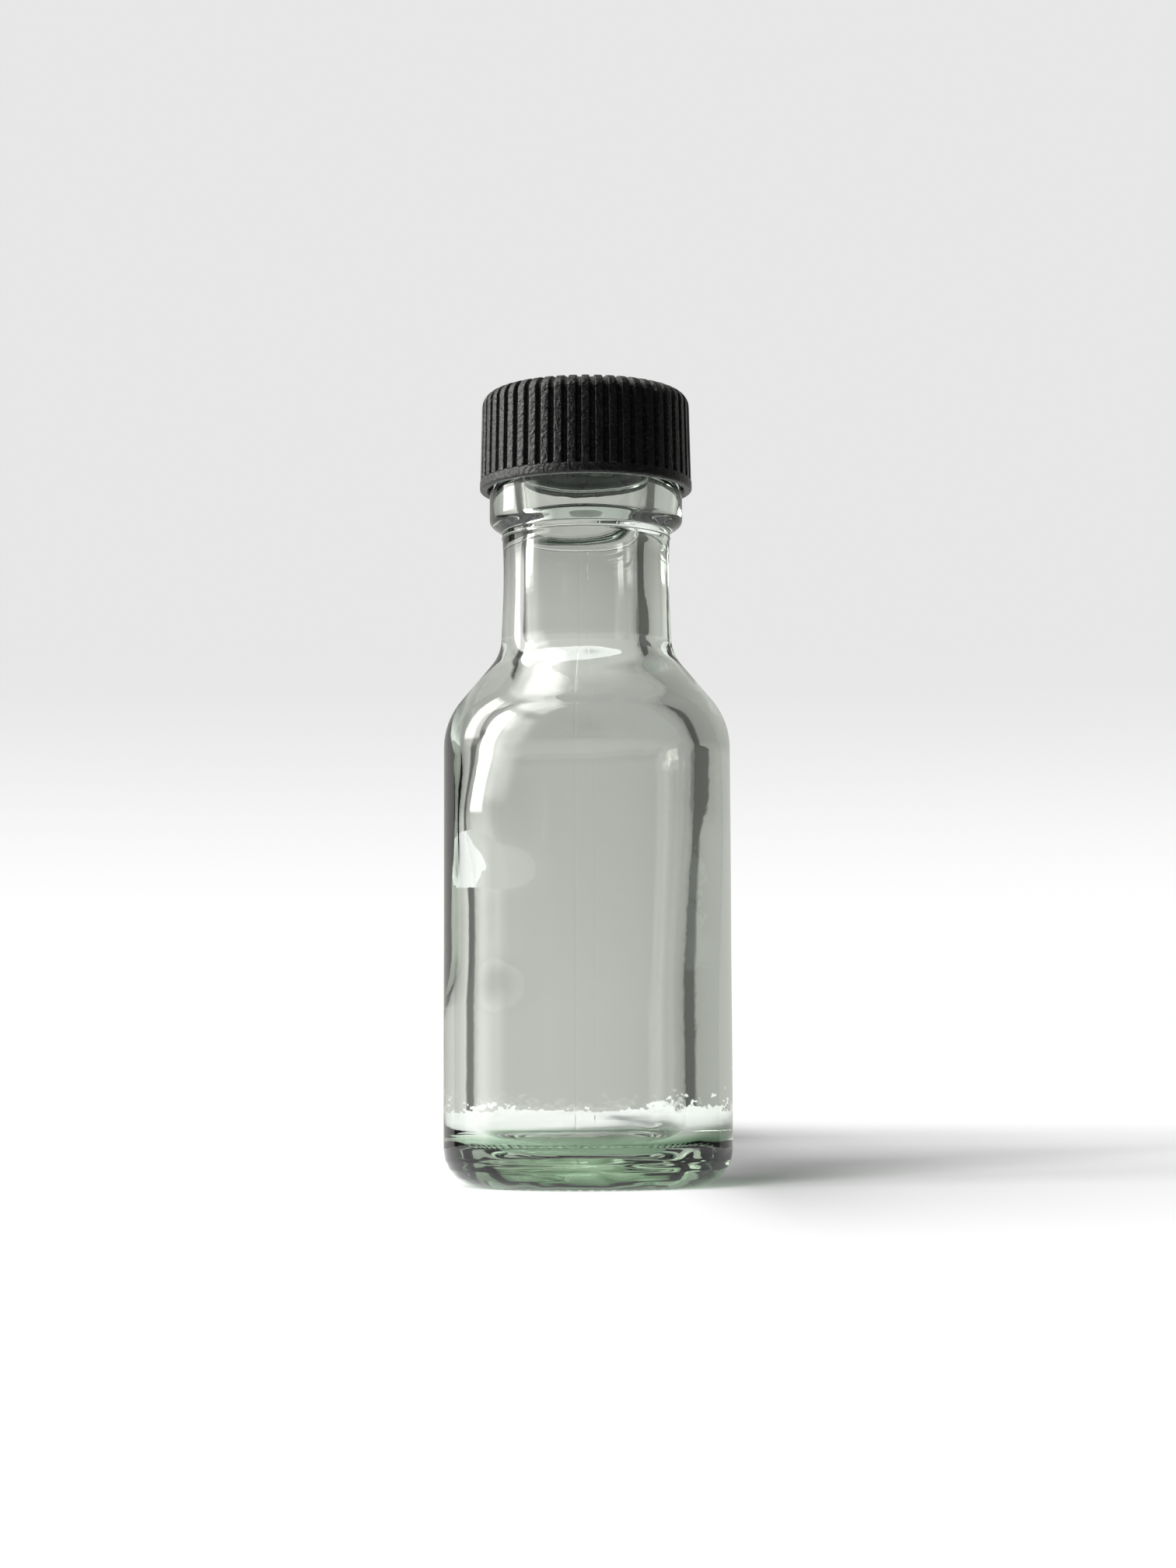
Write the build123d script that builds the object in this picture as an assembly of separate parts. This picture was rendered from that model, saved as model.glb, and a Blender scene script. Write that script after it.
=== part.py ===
from build123d import *
import os
from math import cos, radians, sin, sqrt, tan

# Small round glass bottle with a ribbed screw cap, for aftershave lotion.
# Millimetres. Origin: centre of the resting plane. +Z runs up the axis.

# ---- glass: body and shoulder ----
BODY_RADIUS = 18.4
BODY_BORE_RADIUS = 14.5
BEARING_INNER_RADIUS = 12.4
HEEL_ROUND = 5.0
PUSH_UP_HEIGHT = 2.2
FLOOR_RIM_HEIGHT = 4.4
FLOOR_CENTRE_HEIGHT = 5.3
FLOOR_CORNER_ROUND = 3.6
SHOULDER_START = 56.0
SHOULDER_ANGLE = 40.0          # lean of the straight part of the shoulder, from vertical
SHOULDER_ROUND = 9.3
SHOULDER_BORE_START = 55.3
SHOULDER_BORE_ROUND = 6.8
NECK_BLEND = 5.5
NECK_BORE_BLEND = 8.5

# ---- glass: neck, collar and finish ----
NECK_BASE_RADIUS = 10.98
NECK_WAIST_RADIUS = 10.70
NECK_WAIST_HEIGHT = 79.0
NECK_TOP_RADIUS = 10.86
NECK_BORE_RADIUS = 7.2
BORE_TAPER_START = 83.3        # the bore widens here, quickly at first, up into the finish
COLLAR_BORE_HEIGHT = 85.2
COLLAR_BORE_RADIUS = 7.6
BORE_TAPER_END = 91.4
FINISH_BORE_RADIUS = 8.2
COLLAR_BOTTOM = 84.1
COLLAR_TOP = 90.2
COLLAR_RADIUS = 12.49
COLLAR_LOWER_ROUND = 1.4
COLLAR_UPPER_ROUND = 0.5
FINISH_RADIUS = 10.75
MOUTH_HEIGHT = 99.3
LIP_OUTER_ROUND = 0.6
LIP_INNER_ROUND = 0.5

# ---- screw thread, shared by glass and cap ----
THREAD_PITCH = 3.175           # eight threads to the inch
THREAD_DEPTH = 1.1
THREAD_FLANK = 30.0            # flank lean from the horizontal plane
THREAD_FADE_TURNS = 0.09
GLASS_CREST_WIDTH = 0.9
GLASS_THREAD_START = 92.7      # middle of the thread's lower end
GLASS_THREAD_TURNS = 1.55
CAP_CREST_WIDTH = 0.7
CAP_THREAD_FIRST_TURN = 0.35   # measured along the glass thread's own helix
CAP_THREAD_TURNS = 1.5
THREAD_FLANK_GAP = 0.12
THREAD_ROOT_EMBED = 0.35       # how far a thread's root is sunk into its wall
SECTIONS_PER_TURN = 20

# ---- screw cap ----
CAP_RIM = 89.45
CAP_TOP = 102.3
CAP_RADIUS = 13.66
CAP_TOP_RADIUS = 13.45
CAP_EDGE_ROUND = 1.9
BAND_RADIUS = 13.74
BAND_HEIGHT = 1.3
BAND_ROUND = 0.25
RIB_FOOT_CHAMFER = 0.2
RIB_COUNT = 48
GROOVE_DEPTH = 0.50
GROOVE_WIDTH = 0.72
SKIRT_MOUTH_RADIUS = 12.75
SKIRT_MOUTH_HEIGHT = 1.3
CAP_THREAD_ROOT_RADIUS = 12.2
LINER_SEAT_RADIUS = 11.9
LINER_SEAT_HEIGHT = 1.3
CAP_ROOF_THICKNESS = 1.25

# ---- liner and orifice reducer ----
LINER_RADIUS = 11.6
LINER_ROOF_GAP = 0.02
WAD_THICKNESS = 0.76
FACING_THICKNESS = 0.24
FLANGE_RADIUS = 9.6
FLANGE_THICKNESS = 0.70
FLANGE_CHAMFER = 0.25
PLUG_RADIUS = 8.15
PLUG_WALL = 0.95
PLUG_LENGTH = 7.2
PLUG_LEAD_IN = 0.4
SEAL_RING_BITE = 0.05          # how far each sealing ring stands past the glass bore
SEAL_RING_HALF_HEIGHT = 0.35
SEAL_RING_HEIGHTS = (94.6, 97.2)
REDUCER_FLOOR_DEPTH = 5.0      # floor's upper face below the flange's upper face
REDUCER_FLOOR_THICKNESS = 1.0
ORIFICE_RADIUS = 3.0
NOZZLE_RADIUS = 3.8
NOZZLE_HEIGHT = 1.5


def point(radius, height):
    """A point of a half profile, in the plane y = 0."""
    return (radius, 0, height)


def arc(centre, radius, start, end):
    """An arc of a half profile, from one angle to the other, in degrees."""
    def on_arc(angle):
        reach = radians(angle)
        return point(centre[0] + radius * cos(reach), centre[1] + radius * sin(reach))
    return ThreePointArc(on_arc(start), on_arc((start + end) / 2), on_arc(end))


def dome(reach, rise):
    """A shallow arc from its top on the axis down to the plane z = 0."""
    sphere = (reach ** 2 + rise ** 2) / (2 * rise)
    half = reach / 2
    middle = point(half, rise - sphere + sqrt(sphere ** 2 - half ** 2))
    return ThreePointArc(point(0, rise), middle, point(reach, 0))


def turned(*edges):
    """Turn a half profile about +Z; the ends of the chain of edges lie on the axis."""
    chain = list(edges)
    closing = Line(chain[-1] @ 1, chain[0] @ 0)
    return revolve(make_face(chain + [closing]), Axis.Z)


def shoulder_edges(body_radius, start, body_round, neck_radius, neck_round):
    """The S-shaped run from body to neck: arc, straight, arc. It runs upwards."""
    lean = radians(SHOULDER_ANGLE)
    lower = arc((body_radius - body_round, start), body_round, 0, SHOULDER_ANGLE)
    lower_end = lower @ 1
    upper_radius = neck_radius + neck_round * (1 - cos(lean))
    upper_height = lower_end.Z + (lower_end.X - upper_radius) / tan(lean)
    centre = (neck_radius + neck_round, upper_height + neck_round * sin(lean))
    upper = arc(centre, neck_round, 180 + SHOULDER_ANGLE, 180)
    return [lower, Line(lower_end, upper @ 0), upper]


def thread_solid(wall_radius, outward, crest_width, start_height, first_turn, turns):
    """A right-hand thread whose ends fade into the wall it stands on."""
    slope = tan(radians(THREAD_FLANK))
    sections = []
    count = round(turns * SECTIONS_PER_TURN)
    for step in range(count + 1):
        along = turns * step / count
        fade = min(1.0, along / THREAD_FADE_TURNS, (turns - along) / THREAD_FADE_TURNS)
        depth = max(THREAD_DEPTH * fade, 0.0) - (1 - fade) * THREAD_ROOT_EMBED / 2
        turn = first_turn + along
        height = start_height + THREAD_PITCH * turn
        root = wall_radius - outward * THREAD_ROOT_EMBED
        crest = wall_radius + outward * depth
        root_half = crest_width / 2 + (THREAD_DEPTH + THREAD_ROOT_EMBED) * slope
        crest_half = crest_width / 2 + (THREAD_DEPTH - depth) * slope
        corners = [
            point(root, height - root_half),
            point(crest, height - crest_half),
            point(crest, height + crest_half),
            point(root, height + root_half),
        ]
        outline = Polyline(*corners, close=True)
        sections.append(make_face(outline).rotate(Axis.Z, 360 * turn))
    return loft(sections)


def glass_outside():
    """The glass as a solid, with the push-up under the base."""
    bearing_outer = BODY_RADIUS - HEEL_ROUND
    push_up = dome(BEARING_INNER_RADIUS, PUSH_UP_HEIGHT)
    bearing = Line(push_up @ 1, point(bearing_outer, 0))
    heel = arc((bearing_outer, HEEL_ROUND), HEEL_ROUND, -90, 0)
    wall = Line(heel @ 1, point(BODY_RADIUS, SHOULDER_START))
    shoulder = shoulder_edges(
        BODY_RADIUS, SHOULDER_START, SHOULDER_ROUND, NECK_BASE_RADIUS, NECK_BLEND)
    neck = ThreePointArc(
        shoulder[-1] @ 1,
        point(NECK_WAIST_RADIUS, NECK_WAIST_HEIGHT),
        point(NECK_TOP_RADIUS, COLLAR_BOTTOM),
    )
    collar_under = Line(neck @ 1, point(COLLAR_RADIUS - COLLAR_LOWER_ROUND, COLLAR_BOTTOM))
    collar_lower = arc(
        (COLLAR_RADIUS - COLLAR_LOWER_ROUND, COLLAR_BOTTOM + COLLAR_LOWER_ROUND),
        COLLAR_LOWER_ROUND, -90, 0)
    collar_upper = arc(
        (COLLAR_RADIUS - COLLAR_UPPER_ROUND, COLLAR_TOP - COLLAR_UPPER_ROUND),
        COLLAR_UPPER_ROUND, 0, 90)
    ledge = Line(collar_upper @ 1, point(FINISH_RADIUS, COLLAR_TOP))
    lip = arc(
        (FINISH_RADIUS - LIP_OUTER_ROUND, MOUTH_HEIGHT - LIP_OUTER_ROUND),
        LIP_OUTER_ROUND, 0, 90)
    return turned(
        push_up, bearing, heel, wall, *shoulder, neck,
        collar_under, collar_lower, Line(collar_lower @ 1, collar_upper @ 0), collar_upper,
        ledge, Line(ledge @ 1, lip @ 0), lip, Line(lip @ 1, point(0, MOUTH_HEIGHT)))


def glass_cavity():
    """The hollow of the bottle, from the floor up through the mouth."""
    floor_edge = BODY_BORE_RADIUS - FLOOR_CORNER_ROUND
    floor = Line(point(0, FLOOR_CENTRE_HEIGHT), point(floor_edge, FLOOR_RIM_HEIGHT))
    corner = arc(
        (floor_edge, FLOOR_RIM_HEIGHT + FLOOR_CORNER_ROUND), FLOOR_CORNER_ROUND, -90, 0)
    wall = Line(corner @ 1, point(BODY_BORE_RADIUS, SHOULDER_BORE_START))
    shoulder = shoulder_edges(
        BODY_BORE_RADIUS, SHOULDER_BORE_START, SHOULDER_BORE_ROUND,
        NECK_BORE_RADIUS, NECK_BORE_BLEND)
    bore = Line(shoulder[-1] @ 1, point(NECK_BORE_RADIUS, BORE_TAPER_START))
    step = Line(bore @ 1, point(COLLAR_BORE_RADIUS, COLLAR_BORE_HEIGHT))
    taper = Line(step @ 1, point(FINISH_BORE_RADIUS, BORE_TAPER_END))
    lip_radius = FINISH_BORE_RADIUS + LIP_INNER_ROUND
    lip = arc((lip_radius, MOUTH_HEIGHT - LIP_INNER_ROUND), LIP_INNER_ROUND, 180, 90)
    above = MOUTH_HEIGHT + LIP_INNER_ROUND
    flare = Line(lip @ 1, point(lip_radius, above))
    return turned(floor, corner, wall, *shoulder, bore, step, taper, Line(taper @ 1, lip @ 0),
                  lip, flare, Line(flare @ 1, point(0, above)))


def glass_bottle():
    thread = thread_solid(
        FINISH_RADIUS, 1, GLASS_CREST_WIDTH, GLASS_THREAD_START, 0, GLASS_THREAD_TURNS)
    return glass_outside() + thread - glass_cavity()


def cap_outside():
    """The cap's ribbed outer form, before it is hollowed."""
    band_top = CAP_RIM + BAND_HEIGHT
    edge_centre = (CAP_TOP_RADIUS - CAP_EDGE_ROUND, CAP_TOP - CAP_EDGE_ROUND)
    edge = arc(edge_centre, CAP_EDGE_ROUND, 0, 90)
    band_lower = arc((BAND_RADIUS - BAND_ROUND, CAP_RIM + BAND_ROUND), BAND_ROUND, -90, 0)
    band_upper = arc((BAND_RADIUS - BAND_ROUND, band_top - BAND_ROUND), BAND_ROUND, 0, 90)
    foot = point(CAP_RADIUS - RIB_FOOT_CHAMFER, band_top)
    rib_start = point(CAP_RADIUS, band_top + RIB_FOOT_CHAMFER)
    body = turned(
        Line(point(0, CAP_RIM), band_lower @ 0), band_lower,
        Line(band_lower @ 1, band_upper @ 0), band_upper,
        Line(band_upper @ 1, foot), Line(foot, rib_start), Line(rib_start, edge @ 0), edge,
        Line(edge @ 1, point(0, CAP_TOP)))
    groove_reach = CAP_TOP - band_top + 1
    slot = Pos(CAP_RADIUS + GROOVE_WIDTH / 2 - GROOVE_DEPTH, 0, band_top) * (
        Cylinder(GROOVE_WIDTH / 2, groove_reach, align=(Align.CENTER, Align.CENTER, Align.MIN))
        + Box(2, GROOVE_WIDTH, groove_reach, align=(Align.MIN, Align.CENTER, Align.MIN)))
    pitch = 360 / RIB_COUNT
    return body - [slot.rotate(Axis.Z, pitch * number) for number in range(RIB_COUNT)]


def cap_cavity():
    """The cap's stepped inside: skirt mouth, thread wall, liner seat."""
    roof = CAP_TOP - CAP_ROOF_THICKNESS
    seat = roof - LINER_SEAT_HEIGHT
    mouth = CAP_RIM + SKIRT_MOUTH_HEIGHT
    mouth_step = SKIRT_MOUTH_RADIUS - CAP_THREAD_ROOT_RADIUS
    seat_step = CAP_THREAD_ROOT_RADIUS - LINER_SEAT_RADIUS
    outline = Polyline(
        point(0, CAP_RIM - 1),
        point(SKIRT_MOUTH_RADIUS, CAP_RIM - 1),
        point(SKIRT_MOUTH_RADIUS, mouth),
        point(CAP_THREAD_ROOT_RADIUS, mouth + mouth_step),
        point(CAP_THREAD_ROOT_RADIUS, seat - seat_step),
        point(LINER_SEAT_RADIUS, seat),
        point(LINER_SEAT_RADIUS, roof),
        point(0, roof),
        close=True)
    return revolve(make_face(outline), Axis.Z)


def screw_cap():
    """Its thread lies just under the glass thread, so that the flanks almost touch."""
    slope = tan(radians(THREAD_FLANK))
    crests_apart = CAP_THREAD_ROOT_RADIUS - FINISH_RADIUS - THREAD_DEPTH
    flank_run = (THREAD_DEPTH - crests_apart) * slope
    below = (GLASS_CREST_WIDTH + CAP_CREST_WIDTH) / 2 + flank_run + THREAD_FLANK_GAP
    thread = thread_solid(
        CAP_THREAD_ROOT_RADIUS, -1, CAP_CREST_WIDTH,
        GLASS_THREAD_START - below, CAP_THREAD_FIRST_TURN, CAP_THREAD_TURNS)
    return cap_outside() - cap_cavity() + thread


def disc(radius, bottom, thickness):
    return Pos(0, 0, bottom) * Cylinder(
        radius, thickness, align=(Align.CENTER, Align.CENTER, Align.MIN))


def wad_bottom():
    return CAP_TOP - CAP_ROOF_THICKNESS - LINER_ROOF_GAP - WAD_THICKNESS


def liner_wad():
    return disc(LINER_RADIUS, wad_bottom(), WAD_THICKNESS)


def liner_facing():
    return disc(LINER_RADIUS, wad_bottom() - FACING_THICKNESS, FACING_THICKNESS)


def seal_ring(height):
    """A low rounded ring round the plug that bites into the glass bore."""
    reach = FINISH_BORE_RADIUS + SEAL_RING_BITE
    root = PLUG_RADIUS - PLUG_WALL / 2
    outline = Polyline(
        point(root, height - SEAL_RING_HALF_HEIGHT),
        point(PLUG_RADIUS, height - SEAL_RING_HALF_HEIGHT),
        point(reach, height),
        point(PLUG_RADIUS, height + SEAL_RING_HALF_HEIGHT),
        point(root, height + SEAL_RING_HALF_HEIGHT),
        close=True)
    return revolve(make_face(outline), Axis.Z)


def orifice_reducer():
    """Push-in insert: flange on the lip, plug in the bore, small hole with a nozzle."""
    flange_top = MOUTH_HEIGHT + FLANGE_THICKNESS
    plug_bottom = MOUTH_HEIGHT - PLUG_LENGTH
    floor_top = flange_top - REDUCER_FLOOR_DEPTH
    floor_bottom = floor_top - REDUCER_FLOOR_THICKNESS
    inner = PLUG_RADIUS - PLUG_WALL
    flange = disc(FLANGE_RADIUS, MOUTH_HEIGHT, FLANGE_THICKNESS)
    flange = chamfer(flange.edges().group_by(Axis.Z)[-1], FLANGE_CHAMFER)
    plug = disc(PLUG_RADIUS, plug_bottom, PLUG_LENGTH)
    plug = chamfer(plug.edges().group_by(Axis.Z)[0], PLUG_LEAD_IN)
    body = flange + plug
    for height in SEAL_RING_HEIGHTS:
        body += seal_ring(height)
    body -= disc(inner, floor_top, REDUCER_FLOOR_DEPTH + 1)
    body -= disc(inner, plug_bottom - 1, floor_bottom - plug_bottom + 1)
    body += disc(NOZZLE_RADIUS, floor_top, NOZZLE_HEIGHT)
    return body - disc(ORIFICE_RADIUS, plug_bottom - 1, PLUG_LENGTH + 2)


NODES = {
    "glass_bottle": glass_bottle,
    "orifice_reducer": orifice_reducer,
    "screw_cap": screw_cap,
    "liner_wad": liner_wad,
    "liner_facing": liner_facing,
}

os.makedirs("parts", exist_ok=True)
for name, build in NODES.items():
    export_step(build(), f"parts/{name}.step")
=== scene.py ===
from math import cos, pi, radians, sin, tan

import bpy
import numpy as np
from mathutils import Euler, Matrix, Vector, noise


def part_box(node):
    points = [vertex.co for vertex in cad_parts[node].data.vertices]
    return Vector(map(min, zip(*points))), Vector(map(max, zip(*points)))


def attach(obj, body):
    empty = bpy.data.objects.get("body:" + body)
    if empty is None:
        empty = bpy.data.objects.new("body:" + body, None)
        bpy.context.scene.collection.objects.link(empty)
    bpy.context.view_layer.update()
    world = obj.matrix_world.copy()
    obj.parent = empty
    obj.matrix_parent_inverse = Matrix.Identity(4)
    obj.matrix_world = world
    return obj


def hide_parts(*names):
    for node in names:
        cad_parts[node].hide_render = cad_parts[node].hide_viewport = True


# A small round glass bottle with a ribbed screw cap. Everything is in metres, in the frame
# of the CAD model: the origin is the middle of the resting plane, +Z is up, the front is -Y.

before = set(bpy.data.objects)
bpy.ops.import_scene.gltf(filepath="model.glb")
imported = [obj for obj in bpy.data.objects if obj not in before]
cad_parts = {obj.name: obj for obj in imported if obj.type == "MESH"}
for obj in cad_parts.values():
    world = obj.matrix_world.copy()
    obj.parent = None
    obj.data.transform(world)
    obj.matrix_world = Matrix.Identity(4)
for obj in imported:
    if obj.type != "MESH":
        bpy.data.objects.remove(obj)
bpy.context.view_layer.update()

MM = 0.001
_, glass_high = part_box("glass_bottle")
cap_low, cap_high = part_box("screw_cap")
wad_low, wad_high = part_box("liner_wad")
facing_low, facing_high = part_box("liner_facing")
reducer_low, reducer_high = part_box("orifice_reducer")

# ---------------------------------------------------------------- sizes, in millimetres

BODY_R = glass_high.x / MM
MOUTH_Z = glass_high.z / MM
CAP_RIM_Z = cap_low.z / MM
CAP_TOP_Z = cap_high.z / MM
BAND_R = cap_high.x / MM
ROOF_Z = wad_high.z / MM

HEEL_ROUND = 5.0
BEARING_IN = 12.4
PUSH_UP = 2.2
SHOULDER_Z = 56.0
SHOULDER_LEAN = 40.0
SHOULDER_ROUND = 9.3
NECK_BLEND = 5.5
NECK_LOW_R = 10.98
NECK_WAIST_R, NECK_WAIST_Z = 10.70, 79.0
NECK_TOP_R = 10.86
COLLAR_LOW_Z, COLLAR_TOP_Z = 84.1, 90.2
COLLAR_R = 12.49
FINISH_R = 10.75

BORE_R = 14.5
FLOOR_Z, FLOOR_CENTRE_Z = 4.4, 5.3
FLOOR_ROUND = 3.6
SHOULDER_BORE_Z = 55.3
SHOULDER_BORE_ROUND = 6.8
NECK_BORE_R = 7.2
BORE_TAPER_LOW_Z, BORE_TAPER_HIGH_Z = 83.3, 91.4
COLLAR_BORE_R, COLLAR_BORE_Z = 7.6, 85.2
FINISH_BORE_R = 8.2
NECK_BORE_BLEND = 8.5

THREAD_PITCH = 3.175
THREAD_DEPTH = 1.1
THREAD_FADE = 0.12             # turns over which a thread rises from nothing at its ends
GLASS_THREAD_Z, GLASS_THREAD_TURNS = 92.7, 1.55
GLASS_CREST, GLASS_FLANK = 1.1, 0.75
CAP_THREAD_Z, CAP_THREAD_TURNS = 92.5, 1.5
CAP_CREST, CAP_FLANK = 0.9, 0.7

CAP_R, CAP_TOP_R = 13.66, 13.45
CAP_EDGE_ROUND = 1.9
BAND_H = 1.3
RIB_COUNT = 48
GROOVE_DEPTH = 0.50
GROOVE_END_R = 10.6            # the grooves fade away over the top's edge, inwards to here
TOP_FLAT_R = 9.6
SEAL_RINGS_Z = (94.6, 97.2)

# how far the small unevennesses of the moulded glass stand out
SETTLE_WAVES = 0.035
SEAM_HEIGHT = 0.035
STIPPLE_COUNT, STIPPLE_HEIGHT = 61, 0.22
WALL_WAVES = 0.07
NECK_BORE_OFFSET = 0.38        # the bore of the neck stands this far to the left
NECK_BORE_WAVES = 0.08
FLOOR_WAVES = 0.30

# the blown wall is uneven: swells and hollows of its inside, each with the direction of its
# middle and its reach in degrees, and how far it stands out from the mean by height
WALL_SWELLS = (
    (-36, 25, ((0, -0.58), (18, -0.58), (21, -0.60), (27, -0.60), (36.5, -0.44), (46, -0.24),
               (57, -0.17), (61, 0))),
    (-8, 25, ((0, -0.66), (18, -0.66), (21, -0.68), (27, -0.68), (36.5, -0.50), (46, -0.27),
              (57, -0.20), (61, 0))),
    (-152, 22, ((38.5, 0), (43, 0.66), (46, 0.95), (49, 0.85), (56, 0))),
    (-168, 14, ((36, 0), (44, 0.30), (49, 0.30), (56, 0))),
    (-128, 15, ((38, 0), (41.5, 0.46), (45, 0.40), (56, 0))),
    (161, 22, ((24, 0), (28, -1.4), (56, -1.4), (60, 0))),
)

# faint mould lines round the heel: height, how far they stand out, half width
HEEL_LINES = ((3.4, 0.07, 0.22), (2.3, 0.06, 0.18), (1.2, 0.05, 0.2))

# bright boxes in the room: low, high and soft edge of the azimuth and of the elevation, in
# degrees, and strength. In turn a glow nearer the camera than the window, the window, and a
# box high up.
ROOM_LIGHTS = (((-118, -84, 8), (15, 45, 4), 4.0), ((-84, -64, 2), (8, 46, 2), 8.0),
               ((-120, -50, 8), (54, 76, 4), 4.0))
CEILING_BOX, CEILING_LIGHT = (60, 200, 10), 0.15
# low down at the right the wall is looked up this many degrees further on
WALL_SHIFT, WALL_SHIFT_ACROSS, WALL_SHIFT_UP = 13, (30, 120, 5), (2.6, 6.6, 2.2)
WALL_FADE, WALL_FADED = (1, 12), 0.70     # the wall's light falls off between these elevations
ROOM_GREEN, ROOM_BLUE = 0.99, 0.955       # the room's light is slightly warm
# the room by direction, 0 behind the camera, 0.25 its left, 0.5 straight on, 0.75 its right
WALL_ACROSS = ((0.0, 0.012), (0.222, 0.03), (0.25, 2.0), (0.285, 1.4), (0.31, 0.95),
               (0.325, 0.25), (0.343, 0.09), (0.365, 0.09), (0.375, 0.74), (0.41, 0.69),
               (0.50, 0.61), (0.52, 0.58), (0.565, 0.51), (0.61, 0.45), (0.640, 0.41),
               (0.648, 0.11), (0.72, 0.11), (0.77, 0.015))
# how much lamp light the flag over the floor holds back, by metres right and behind
FLAG_ACROSS = ((0.006, 0), (0.019, 0.72), (0.026, 0.60), (0.036, 0.42), (0.056, 0.26),
               (0.094, 0.13), (0.16, 0.05), (0.24, 0))
FLAG_ALONG = ((-0.13, 0), (-0.055, 0.45), (0.008, 0.8), (0.07, 1.0), (0.17, 1.0), (0.23, 1.3),
              (0.28, 1.0), (0.34, 0.4), (0.42, 0.06), (0.5, 0))
TABLE_EDGE = ((-180, 0.60), (-60, 0.54), (-8, 0.56), (10, 0.60), (30, 0.68), (110, 0.68),
              (180, 0.60))     # the object sees the floor this far out, by direction
EDGE_POINTS = 1440
EDGE_ROUGH = ((9, 0.02), (30, 0.035), (90, 0.03))     # scale and amount of its raggedness
RAGGED_REACH, CALM_SHARE = 25, 0.3        # beyond this many degrees it is less ragged
NEAR_FLOOR = 0.15              # mirrored surfaces see it this far out
FLOOR_REACH = 6.0              # the camera sees it this far
BACKDROP_GREY = 0.799          # linear value of the pale grey far wall
BACKDROP_WHITE = 1.02          # and of the white it has at the horizon
BACKDROP_BLEND = (1.8, 7.7)    # elevations between which it goes from white to grey
FLAG_HEIGHT = 0.003
EYE_DISTANCE = 0.386
EYE_HEIGHT = 0.01627
EYE_PITCH = 5.2                # degrees upwards
EYE_ROLL = 0.22
LENS_MM, FILM_MM = 69.13, 36.0


# ---------------------------------------------------------------- outlines

def line(start, end, step):
    """Points from start to end, without the last one."""
    start, end = np.array(start, float), np.array(end, float)
    count = max(1, int(np.ceil(np.linalg.norm(end - start) / step)))
    return [tuple(start + (end - start) * k / count) for k in range(count)]


def arc(centre, radius, first, last, step):
    """Points on an arc between two angles in degrees, without the last one."""
    count = max(3, int(np.ceil(abs(radians(last - first)) * radius / step)))
    angles = [radians(first + (last - first) * k / count) for k in range(count)]
    return [(centre[0] + radius * cos(a), centre[1] + radius * sin(a)) for a in angles]


def shoulder(body_r, start_z, body_round, neck_r, neck_round, step):
    """Arc, straight and arc from the body up to the neck, and the height where it ends."""
    lean = radians(SHOULDER_LEAN)
    centre = (body_r - body_round, start_z)
    low = (centre[0] + body_round * cos(lean), start_z + body_round * sin(lean))
    high_r = neck_r + neck_round * (1 - cos(lean))
    high_z = low[1] + (low[0] - high_r) / tan(lean)
    end_z = high_z + neck_round * sin(lean)
    points = arc(centre, body_round, 0, SHOULDER_LEAN, step)
    points += line(low, (high_r, high_z), step)
    points += arc((neck_r + neck_round, end_z), neck_round, 180 + SHOULDER_LEAN, 180, step)
    return points, end_z


def bezier(p0, p1, p2, p3, count):
    """Points of a cubic curve, without the last one."""
    p0, p1, p2, p3 = (np.array(p, float) for p in (p0, p1, p2, p3))
    out = []
    for k in range(count):
        t = k / count
        s = 1 - t
        out.append(tuple(s**3 * p0 + 3 * s * s * t * p1 + 3 * s * t * t * p2 + t**3 * p3))
    return out


# ---------------------------------------------------------------- meshes

def new_piece(name, verts, faces):
    mesh = bpy.data.meshes.new(name)
    mesh.from_pydata(verts, [], faces)
    piece = bpy.data.objects.new(name, mesh)
    bpy.context.scene.collection.objects.link(piece)
    return piece


def smooth_piece(name, verts, faces):
    piece = new_piece(name, verts, faces)
    piece.data.validate()
    piece.data.shade_smooth()
    return piece


def spun(points, columns):
    """An outline as an array, and its radii and heights repeated for each column."""
    outline = np.array(points)
    radii, heights = (np.repeat(outline[:, k:k + 1], columns, axis=1) for k in (0, 1))
    return outline, radii, heights


def lathe(name, radii, heights, angles):
    """A closed turned skin. radii and heights have a row per outline point and a column per
    angle; the first and last rows lie on the axis."""
    rows, columns = radii.shape
    grid = np.stack([radii * np.cos(angles), radii * np.sin(angles), heights], axis=-1) * MM
    body = grid[1:-1].reshape(-1, 3)
    poles = np.array([grid[0].mean(axis=0), grid[-1].mean(axis=0)])
    verts = np.vstack([body, poles])
    here = np.arange(columns)
    there = (here + 1) % columns
    faces = []
    for row in range(rows - 3):
        a, b = row * columns, (row + 1) * columns
        faces += np.stack([a + here, a + there, b + there, b + here], axis=-1).tolist()
    low_pole, high_pole = len(body), len(body) + 1
    last = (rows - 3) * columns
    faces += [[low_pole, int(k), int(j)] for k, j in zip(there, here)]
    faces += [[high_pole, last + int(j), last + int(k)] for j, k in zip(here, there)]
    return smooth_piece(name, verts.tolist(), faces)


def plain_lathe(name, points, columns):
    """A turned skin that is the same all the way round."""
    angles = np.array([2 * pi * k / columns for k in range(columns)])
    _, radii, heights = spun(points, columns)
    return lathe(name, radii, heights, angles)


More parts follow.
